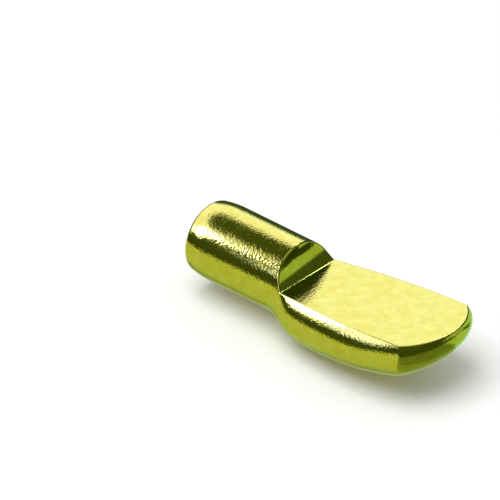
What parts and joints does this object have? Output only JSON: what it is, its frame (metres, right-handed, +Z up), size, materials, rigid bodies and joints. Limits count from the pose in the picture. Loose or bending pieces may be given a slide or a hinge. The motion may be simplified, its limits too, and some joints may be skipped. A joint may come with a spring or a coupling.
{
  "type": "shelf support pin",
  "caption": "Solid spoon-shaped shelf support pin: a round shank that plugs into the side of a cabinet, a swelling neck, and a flat seat with a rounded underside that carries the shelf",
  "frame": {"origin": "on the shank's axis, in the plane of the cabinet's wall, where the neck begins to swell", "axes": "+X along the shank's axis towards the tip of the seat, +Y across the seat, +Z up out of the seat"},
  "size_m": [0.0255, 0.0094, 0.0074],
  "materials": {
    "plated_brass": "bright yellow brass plating, lightly grained"
  },
  "bodies": {
    "root": {"pin": "plated_brass"}
  },
  "joints": []
}
